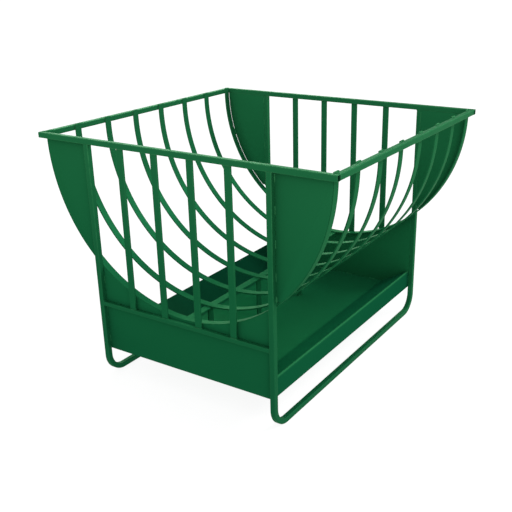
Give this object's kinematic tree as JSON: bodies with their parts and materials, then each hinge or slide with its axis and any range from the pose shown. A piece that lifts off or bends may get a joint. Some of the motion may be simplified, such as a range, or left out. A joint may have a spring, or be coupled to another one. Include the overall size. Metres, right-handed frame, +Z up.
{
  "type": "hay rack feeder",
  "caption": "Free-standing hay rack for sheep and goats: a U-shaped basket of bent flat bars in a tube rim, over a folded sheet feed tray, on two skid legs.",
  "frame": {"origin": "centre of the bounding box on the ground under the skids", "axes": "+Z up; X along the barred end frames, across the skids; Y along the skids, from the front end frame to the rear end frame"},
  "size_m": [1.2, 1.14, 0.912],
  "materials": {
    "painted_tube": "satin green paint on square steel tube",
    "painted_flat_bar": "satin green paint on flat steel bar",
    "painted_sheet": "satin green paint on steel sheet"
  },
  "bodies": {
    "root": {"rim_front": "painted_tube", "rim_rear": "painted_tube", "rim_left": "painted_tube", "rim_right": "painted_tube", "leg_frame_left": "painted_tube", "leg_frame_right": "painted_tube", "end_bar_front_1": "painted_flat_bar", "end_bar_front_2": "painted_flat_bar", "end_bar_front_3": "painted_flat_bar", "end_bar_front_4": "painted_flat_bar", "rail_front": "painted_tube", "end_plate_front": "painted_sheet", "wing_front_left": "painted_sheet", "wing_front_right": "painted_sheet", "end_bar_rear_1": "painted_flat_bar", "end_bar_rear_2": "painted_flat_bar", "end_bar_rear_3": "painted_flat_bar", "end_bar_rear_4": "painted_flat_bar", "rail_rear": "painted_tube", "end_plate_rear": "painted_sheet", "wing_rear_left": "painted_sheet", "wing_rear_right": "painted_sheet", "basket_strip_1": "painted_flat_bar", "basket_strip_2": "painted_flat_bar", "basket_strip_3": "painted_flat_bar", "basket_strip_4": "painted_flat_bar", "basket_strip_5": "painted_flat_bar", "basket_strip_6": "painted_flat_bar", "basket_strip_7": "painted_flat_bar", "basket_strip_8": "painted_flat_bar", "keel_bar": "painted_flat_bar", "keel_strut_1": "painted_flat_bar", "keel_strut_2": "painted_flat_bar", "keel_strut_3": "painted_flat_bar", "tray": "painted_sheet"}
  },
  "joints": []
}
